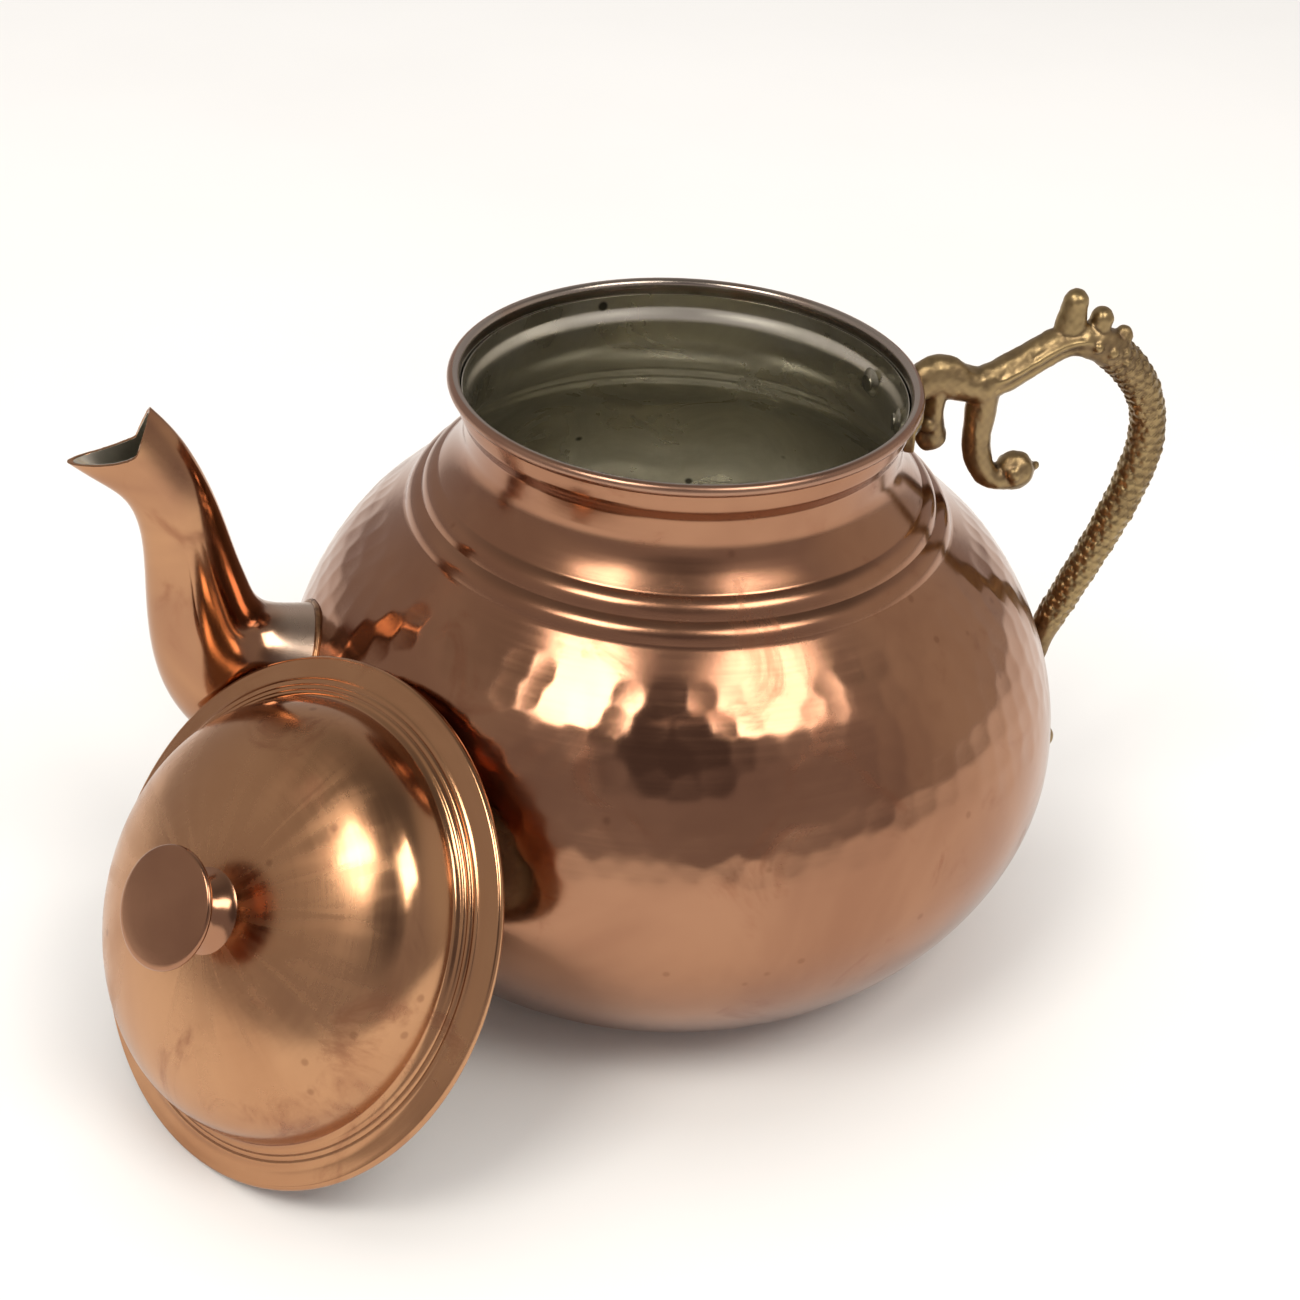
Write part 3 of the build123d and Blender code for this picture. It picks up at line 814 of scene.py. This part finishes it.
flange = np.array([(57.0, 2.0), (56.2, 2.2), (55.2, 2.4), (54.1, 2.55), (53.0, 2.66)])
lid_outside = np.vstack(
    [
        flange[:-1],
        raised_ring((53.0, 2.66), (51.7, 2.95), 0.16),
        raised_ring((51.7, 2.95), (50.5, 3.45), 0.18),
        raised_ring((50.5, 3.45), (49.5, 4.15), 0.18),
        hermite([((49.5, 4.15), (-0.85, 0.5)), (dome_foot, (-0.35, 0.94))], 8)[:-1],
        dome_outside,
    ]
)
lid_under = moved_in(lid_outside, lid_wall)[::-1]
hem_start, hem_end = 215, 360 + 88
lid_line = np.vstack(
    [
        lid_under[:-3],
        arc(hem, hem_radius, hem_start, hem_end, 28),
        lid_outside,
    ]
)
lid_line[0, 0] = 0.0
lid_line[-1, 0] = 0.0
lid_columns = 320
lid_dome = lathe("lid_shell", lid_line, lid_columns)

lid_lining_gap = 0.01
lid_lining_columns = 200
lid_skin = moved_in(dome_outside, lid_wall + lid_lining_gap)
lid_skin_in = moved_in(dome_outside, lid_wall + tin)
lid_skin[-1, 0] = lid_skin_in[-1, 0] = 0.0
lid_lining_line = np.vstack([lid_skin_in[::-1], lid_skin])
lid_lining = lathe("lid_tin", lid_lining_line, lid_lining_columns)

knob_foot = 9.6
knob_edge = 0.75
knob_columns = 128
knob_top = [
    ((knob_radius - 0.9, 39.5), (-1, 0.1)),
    ((8.0, 39.75), (-1, 0.02)),
    ((0.0, 39.8), (-1, 0)),
]
knob_line = np.vstack(
    [
        [(0.0, dome_height - 1.3), (5.0, dome_height - 1.5), (knob_foot, dome_height - 1.3)],
        hermite(
            [
                ((knob_foot, dome_height - 0.5), (-1.0, 0.45)),
                ((6.6, 30.6), (-0.6, 0.8)),
                ((5.5, 33.6), (0.1, 1.0)),
                ((7.4, 36.4), (0.85, 0.5)),
                ((12.2, 37.9), (1.0, 0.15)),
            ],
            8,
        ),
        arc((knob_radius - knob_edge, 38.7), knob_edge, -75, 70, 10),
        hermite(knob_top, 8),
    ]
)
lid_knob = lathe("lid_grip", knob_line, knob_columns)
for piece in (lid_dome, lid_lining, lid_knob):
    lean_on_pot(piece)


# ------------------------------------------------------------------ materials
class Graph:
    """A few shorthands for building the nodes of a tree."""

    def __init__(self, tree, coordinates="Object", attribute=None):
        self.nodes, self.links = tree.nodes, tree.links
        if attribute:
            stored = self.nodes.new("ShaderNodeAttribute")
            stored.attribute_name = attribute
            self.place = stored.outputs["Vector"]
        else:
            self.place = self.nodes.new("ShaderNodeTexCoord").outputs[coordinates]

    def put(self, value, socket):
        if isinstance(value, bpy.types.NodeSocket):
            self.links.new(value, socket)
        else:
            socket.default_value = value

    def math(self, operation, a, b=0.0):
        node = self.nodes.new("ShaderNodeMath")
        node.operation = operation
        for value, socket in zip((a, b), node.inputs):
            self.put(value, socket)
        return node.outputs[0]

    def add(self, a, b):
        return self.math("ADD", a, b)

    def times(self, a, b):
        return self.math("MULTIPLY", a, b)

    def noise(self, scale, detail=3.0, rough=0.5, distortion=0.0, vector=None):
        node = self.nodes.new("ShaderNodeTexNoise")
        self.put(vector or self.place, node.inputs["Vector"])
        node.inputs["Scale"].default_value = scale
        node.inputs["Detail"].default_value = detail
        node.inputs["Roughness"].default_value = rough
        node.inputs["Distortion"].default_value = distortion
        return node.outputs["Fac"]

    def specks(self, scale):
        """Distance from the nearest of many scattered points."""
        node = self.nodes.new("ShaderNodeTexVoronoi")
        self.put(self.place, node.inputs["Vector"])
        node.inputs["Scale"].default_value = scale
        return node.outputs["Distance"]

    def ramp(self, value, low, high, start=0.0, end=1.0):
        node = self.nodes.new("ShaderNodeMapRange")
        node.interpolation_type = "SMOOTHSTEP"
        for socket, v in zip(node.inputs[:5], (value, low, high, start, end)):
            self.put(v, socket)
        return node.outputs["Result"]

    def mix(self, factor, a, b):
        node = self.nodes.new("ShaderNodeMix")
        node.data_type = "RGBA"
        self.put(factor, node.inputs["Factor"])
        self.put(a, node.inputs[6])
        self.put(b, node.inputs[7])
        return node.outputs[2]

    def join(self, x, y, z):
        node = self.nodes.new("ShaderNodeCombineXYZ")
        for value, socket in zip((x, y, z), node.inputs):
            self.put(value, socket)
        return node.outputs[0]

    def split(self):
        node = self.nodes.new("ShaderNodeSeparateXYZ")
        self.put(self.place, node.inputs[0])
        return node.outputs

    def turned(self):
        """Radius, height and angle about the piece's own axis."""
        x, y, z = self.split()
        radius = self.math("SQRT", self.add(self.times(x, x), self.times(y, y)))
        return radius, z, self.math("ARCTAN2", y, x)

    def turning(self, across, around):
        """Coordinates for fine lines that run round the axis."""
        radius, height, angle = self.turned()
        return self.join(
            self.times(radius, across), self.times(height, across), self.times(angle, around)
        )

    def bump(self, height, strength, distance, normal=None):
        node = self.nodes.new("ShaderNodeBump")
        node.inputs["Strength"].default_value = strength
        node.inputs["Distance"].default_value = distance
        self.put(height, node.inputs["Height"])
        if normal is not None:
            self.put(normal, node.inputs["Normal"])
        return node.outputs[0]


class Shader(Graph):
    """The nodes of one material. With own, it reads the places kept by lean_on_pot."""

    def __init__(self, name, own=False):
        self.material = bpy.data.materials.new(name)
        self.material.use_nodes = True
        super().__init__(self.material.node_tree, attribute="own_place" if own else None)
        self.bsdf = self.nodes["Principled BSDF"]

    def set(self, **values):
        for name, value in values.items():
            self.put(value, self.bsdf.inputs[name.replace("_", " ")])


def rgb(red, green, blue):
    return (red, green, blue, 1.0)


lip_mask = (0.1382, 0.1386)       # heights, m: the tin on the lip starts between them
solder_reach = (-0.096, -0.086)   # x, m: the wiped tin on the spout fades in between them
solder_height = (0.070, 0.086)    # z, m
dome_rays = (0.046, 0.040)        # radius, m: the wiped rays of the lid fade in between them


def copper(
    name, light, dark, tinned_to=None, polish=0.13, spun=0.5, wiping=0.0, soldered=False, own=False
):
    """Polished copper with wiping marks, brown stains and fine turning lines.

    tinned_to is the radius, in mm, that the tin inside reaches on the rolled lip. spun is the
    strength of the turning lines, and wiping that of the rays on the lid's dome. soldered adds
    the pale wiped tin at the spout's root.
    """
    s = Shader(name, own)
    radius, height, angle = s.turned()
    lines = s.noise(1.0, 4.0, 0.65, vector=s.turning(900.0, 1.4))
    clouds = s.noise(16.0, 4.0, 0.6, 0.6)
    stains = s.noise(38.0, 5.0, 0.62, 1.2)
    wiped = s.noise(9.0, 2.0, 0.5, 2.5)
    colour = s.mix(s.ramp(clouds, 0.35, 0.68), light, dark)
    colour = s.mix(s.ramp(stains, 0.56, 0.72, 0.0, 0.6), colour, rgb(0.27, 0.11, 0.06))
    colour = s.mix(s.ramp(s.specks(85.0), 0.10, 0.045, 0.0, 0.45), colour, rgb(0.22, 0.095, 0.05))
    rough = s.add(polish, s.ramp(wiped, 0.40, 0.70, 0.0, 0.10))
    rough = s.add(rough, s.ramp(stains, 0.55, 0.75, 0.0, 0.12))
    rough = s.add(rough, s.times(s.ramp(lines, 0.3, 0.7, -0.03, 0.05), spun))
    fan = s.join(s.math("SINE", angle), s.math("COSINE", angle), s.times(radius, 9.0))
    rays = s.noise(4.0, 2.5, 0.5, 0.9, vector=fan)
    soft = s.add(s.ramp(rays, 0.28, 0.76, 0.0, 0.16), 0.06)
    on_dome = s.ramp(radius, *dome_rays, 0.25, 1.0)
    rough = s.add(rough, s.times(s.times(soft, on_dome), wiping))
    if tinned_to is not None:
        lip_top = lip_centre[1]
        inner_edge = (mouth_outside - wall / 2) * MM
        edge = s.ramp(height, (lip_top - 0.5) * MM, lip_top * MM, inner_edge, tinned_to * MM)
        within = s.ramp(s.math("SUBTRACT", edge, radius), -0.0001, 0.0002)
        on_lip = s.times(s.ramp(height, *lip_mask), within)
        worn = s.times(on_lip, s.ramp(s.noise(60.0), 0.25, 0.5, 0.55, 1.0))
        colour = s.mix(worn, colour, rgb(0.42, 0.39, 0.34))
        rim = s.ramp(height, (lip_top - 1.5) * MM, (lip_top - 0.5) * MM, 0.0, 0.35)
        colour = s.mix(rim, colour, rgb(0.36, 0.25, 0.20))
        rough = s.add(rough, s.times(rim, 0.25))
    if soldered:
        ragged = s.add(s.split()[0], s.times(stains, 0.010))
        collar = s.times(s.ramp(ragged, *solder_reach, 0.0, 0.6), s.ramp(height, *solder_height))
        colour = s.mix(collar, colour, rgb(0.66, 0.56, 0.46))
        rough = s.add(rough, s.times(collar, 0.22))
    normal = s.bump(lines, 0.16 * spun, 0.00006)
    normal = s.bump(s.noise(420.0, 3.0, 0.6), 0.10, 0.00008, normal)
    s.set(Base_Color=colour, Metallic=1.0, Roughness=rough, Normal=normal)
    return s.material


def tinned(name, own=False):
    """Wiped tin: grey green and dull, with darker blooms and a few specks."""
    s = Shader(name, own)
    height = s.split()[2]
    lines = s.noise(1.0, 3.0, 0.6, vector=s.turning(500.0, 2.0))
    blooms = s.noise(24.0, 5.0, 0.62, 1.4)
    colour = s.mix(s.ramp(blooms, 0.32, 0.70), rgb(0.80, 0.77, 0.66), rgb(0.62, 0.595, 0.50))
    colour = s.mix(s.ramp(s.specks(46.0), 0.075, 0.04, 0.0, 0.85), colour, rgb(0.03, 0.028, 0.022))
    rough = s.add(s.ramp(height, 0.004, 0.02, 0.13, 0.25), s.ramp(blooms, 0.35, 0.7, 0.0, 0.14))
    normal = s.bump(lines, 0.25, 0.00008)
    normal = s.bump(s.noise(150.0, 4.0, 0.6), 0.25, 0.0002, normal)
    s.set(Base_Color=colour, Metallic=1.0, Roughness=rough, Normal=normal)
    return s.material


def brass(name):
    """Dull cast brass, brown in its hollows and bright where hands rub it."""
    s = Shader(name)
    pointiness = s.nodes.new("ShaderNodeNewGeometry").outputs["Pointiness"]
    worn = s.ramp(pointiness, 0.485, 0.535)
    grime = s.noise(60.0, 5.0, 0.65, 0.8)
    tone = s.noise(11.0, 3.0, 0.5, 0.4)
    colour = s.mix(s.ramp(tone, 0.35, 0.65), rgb(0.30, 0.215, 0.105), rgb(0.215, 0.145, 0.085))
    colour = s.mix(s.ramp(grime, 0.45, 0.68, 0.0, 0.7), colour, rgb(0.12, 0.075, 0.045))
    hollows = s.ramp(pointiness, 0.50, 0.44, 0.0, 0.85)
    colour = s.mix(hollows, colour, rgb(0.075, 0.048, 0.030))
    colour = s.mix(s.times(worn, 0.55), colour, rgb(0.44, 0.32, 0.15))
    rough = s.add(0.34, s.ramp(grime, 0.4, 0.7, 0.0, 0.22))
    normal = s.bump(s.noise(700.0, 3.0, 0.6), 0.35, 0.00012)
    normal = s.bump(s.noise(210.0, 3.0, 0.6), 0.3, 0.0003, normal)
    s.set(Base_Color=colour, Metallic=1.0, Roughness=rough, Normal=normal)
    return s.material


def plain_metal(name, light, dark, rough):
    """A small metal part with mottled tarnish."""
    s = Shader(name)
    mottle = s.noise(190.0, 5.0, 0.65, 0.6)
    s.set(
        Base_Color=s.mix(s.ramp(mottle, 0.35, 0.68), light, dark),
        Metallic=1.0,
        Roughness=s.add(rough, s.ramp(mottle, 0.4, 0.7, 0.0, 0.2)),
        Normal=s.bump(s.noise(600.0), 0.3, 0.00015),
    )
    return s.material


# painted shade: the first pair of tones below is the second pair's copper made darker, standing in
# for the shadowed floor that the pot's belly reflects; the pot, the knob and the spout's darker
# mottle use it
shade_darkened_copper_light, shade_darkened_copper_dark = rgb(0.395, 0.205, 0.120), rgb(0.315, 0.155, 0.092)
gold_light, gold_dark = rgb(0.50, 0.270, 0.142), rgb(0.43, 0.218, 0.112)
# painted shade: the pot's copper takes the darkened pair of tones
pot_copper = copper("pot_copper", shade_darkened_copper_light, shade_darkened_copper_dark, tinned_to=lip_centre[0] + 0.2)
spout_copper = copper("spout_copper", gold_light, shade_darkened_copper_dark, polish=0.12, spun=0.15, soldered=True)
lid_copper = copper("lid_copper", gold_light, gold_dark, polish=0.11, spun=0.5, wiping=1.0, own=True)
knob_copper = copper("knob_copper", shade_darkened_copper_light, shade_darkened_copper_dark, polish=0.18, spun=0.3, own=True)
sleeve_copper = copper("sleeve_copper", gold_light, gold_dark, polish=0.16, spun=0.3)
tin_finish = tinned("tin_finish")
lid_tin_finish = tinned("lid_tin_finish", own=True)
brass_finish = brass("brass_finish")
braze_finish = plain_metal("braze_finish", rgb(0.36, 0.19, 0.09), rgb(0.12, 0.06, 0.035), 0.3)
rivet_finish = plain_metal("rivet_finish", rgb(0.62, 0.28, 0.14), rgb(0.32, 0.12, 0.06), 0.2)
tinned_rivet = plain_metal("tinned_rivet", rgb(0.44, 0.42, 0.34), rgb(0.20, 0.19, 0.15), 0.3)
wire_finish = plain_metal("wire_finish", rgb(0.20, 0.19, 0.18), rgb(0.09, 0.06, 0.045), 0.4)


def dress(obj, material, body, slot, *replaced):
    """Give a piece its finish, the body it rides on and the CAD nodes it stands for."""
    obj.data.materials.clear()
    obj.data.materials.append(material)
    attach(obj, body)
    if replaced:
        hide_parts(*replaced)


dress(pot_body, pot_copper, "pot", "copper", "body_shell")
dress(tin_lining, tin_finish, "pot", "tin", "tin_lining")
dress(spout, spout_copper, "pot", "copper", "spout")
dress(spout_lining, tin_finish, "pot", "tin", "spout_lining")
dress(spout_seam, braze_finish, "pot", "braze", "spout_braze")
dress(handle, brass_finish, "pot", "cast_brass", "handle")
dress(lid_dome, lid_copper, "lid", "copper", "lid_dome")
dress(lid_lining, lid_tin_finish, "lid", "tin", "lid_lining")
dress(lid_knob, knob_copper, "lid", "copper", "lid_knob")

for node, finish in (
    ("neck_rivets", tinned_rivet),
    ("belly_rivet", rivet_finish),
    ("lid_sleeve", sleeve_copper),
    ("knob_washer", rivet_finish),
    ("knob_rivet", rivet_finish),
    ("rim_wire", wire_finish),
):
    for material_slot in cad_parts[node].material_slots:
        material_slot.material = finish

# ------------------------------------------------------------------ floor, light and camera
floor_size = 30.0
floor_steps = 8
floor_mesh = bpy.data.meshes.new("floor")
tiles = bmesh.new()
bmesh.ops.create_grid(tiles, x_segments=floor_steps, y_segments=floor_steps, size=floor_size / 2)
tiles.to_mesh(floor_mesh)
tiles.free()
floor = bpy.data.objects.new("floor", floor_mesh)
bpy.context.scene.collection.objects.link(floor)
paper = Shader("floor_finish")
patches = paper.ramp(paper.noise(3.0, 4.0), 0.3, 0.7)
paper.set(
    Base_Color=paper.mix(patches, rgb(0.86, 0.85, 0.83), rgb(0.83, 0.82, 0.80)),
    Roughness=0.75,
)
floor_mesh.materials.append(paper.material)


def direction(azimuth, elevation):
    """Unit vector towards a place in the room, from angles in degrees."""
    a, e = math.radians(azimuth), math.radians(elevation)
    return Vector((math.cos(a) * math.cos(e), math.sin(a) * math.cos(e), math.sin(e)))


def softbox(name, azimuth, elevation, distance, size, power, colour):
    """A rectangular light in a direction from the pot, facing it."""
    data = bpy.data.lights.new(name, "AREA")
    data.shape, data.size, data.size_y = "RECTANGLE", size[0], size[1]
    data.energy, data.color = power, colour
    obj = bpy.data.objects.new(name, data)
    bpy.context.scene.collection.objects.link(obj)
    back = direction(azimuth, elevation)
    aim = Vector((0, 0, 0.08))
    obj.location = aim + back * distance
    obj.rotation_mode = "QUATERNION"
    obj.rotation_quaternion = back.to_track_quat("Z", "Y")
    return obj


window_power, window_colour = 11.0, (1.0, 0.96, 0.90)
softbox("left_window", -144, 54, 1.7, (0.62, 0.62), window_power, window_colour)
softbox("right_window", -58, 55, 1.7, (0.72, 0.62), window_power, window_colour)
overhead = softbox("overhead", 90, 78, 2.6, (2.2, 1.6), 17.0, (1.0, 0.985, 0.965))
overhead.visible_glossy = False

world = bpy.data.worlds.new("room")
bpy.context.scene.world = world
world.use_nodes = True
sky = Graph(world.node_tree, "Generated")


def facing(azimuth, elevation):
    """How nearly a direction points at the given place in the room, from -1 to 1."""
    node = sky.nodes.new("ShaderNodeVectorMath")
    node.operation = "DOT_PRODUCT"
    sky.put(sky.place, node.inputs[0])
    node.inputs[1].default_value = direction(azimuth, elevation)
    return node.outputs["Value"]


room = sky.mix(
    sky.ramp(sky.split()[2], 0.50, 0.86), rgb(0.40, 0.36, 0.36), rgb(0.17, 0.155, 0.15)
)
# the room's pale walls and, last, the dark gap between the windows
for azimuth, elevation, fades_in, full, strength, shade in (
    (0, 12, 0.70, 0.99, 1.0, rgb(0.60, 0.55, 0.50)),
    (95, 25, 0.45, 0.95, 0.3, rgb(0.70, 0.67, 0.62)),
    (175, 35, 0.70, 0.98, 0.5, rgb(0.55, 0.50, 0.45)),
    (-101, 45, 0.88, 0.975, 1.0, rgb(0.13, 0.11, 0.115)),
):
    lobe = sky.ramp(facing(azimuth, elevation), fades_in, full, 0.0, strength)
    room = sky.mix(lobe, room, shade)
pale = sky.nodes.new("ShaderNodeBackground")
pale.inputs["Color"].default_value = rgb(0.92, 0.92, 0.92)
seen = sky.nodes.new("ShaderNodeLightPath")
either = sky.nodes.new("ShaderNodeMixShader")
sky.links.new(room, sky.nodes["Background"].inputs["Color"])
# seen directly the room is pale, and diffuse light comes partly from the pale one
diffuse_share = 0.6
diffuse = sky.times(seen.outputs["Is Diffuse Ray"], diffuse_share)
unlit = sky.math("MAXIMUM", seen.outputs["Is Camera Ray"], diffuse)
sky.links.new(unlit, either.inputs[0])
sky.links.new(sky.nodes["Background"].outputs[0], either.inputs[1])
sky.links.new(pale.outputs[0], either.inputs[2])
sky.links.new(either.outputs[0], sky.nodes["World Output"].inputs["Surface"])

camera_azimuth = math.radians(-105.0)
camera_out, camera_up = 455.5 * MM, 363.4 * MM
look_azimuth, look_down, camera_roll = math.radians(75.6), math.radians(33.0), math.radians(3.24)
camera_data = bpy.data.cameras.new("camera")
camera_data.sensor_width, camera_data.lens = 36.0, 60.92
camera_data.clip_start, camera_data.clip_end = 0.01, 60.0
camera = bpy.data.objects.new("camera", camera_data)
bpy.context.scene.collection.objects.link(camera)
ahead = Vector(
    (
        math.cos(look_down) * math.cos(look_azimuth),
        math.cos(look_down) * math.sin(look_azimuth),
        -math.sin(look_down),
    )
)
level = ahead.cross(Vector((0, 0, 1))).normalized()
upright = level.cross(ahead)
right = level * math.cos(camera_roll) + upright * math.sin(camera_roll)
up = upright * math.cos(camera_roll) - level * math.sin(camera_roll)
camera.matrix_world = Matrix.Translation(
    (camera_out * math.cos(camera_azimuth), camera_out * math.sin(camera_azimuth), camera_up)
) @ Matrix((right, up, -ahead)).transposed().to_4x4()
bpy.context.scene.camera = camera
bpy.context.scene.view_settings.view_transform = "Standard"
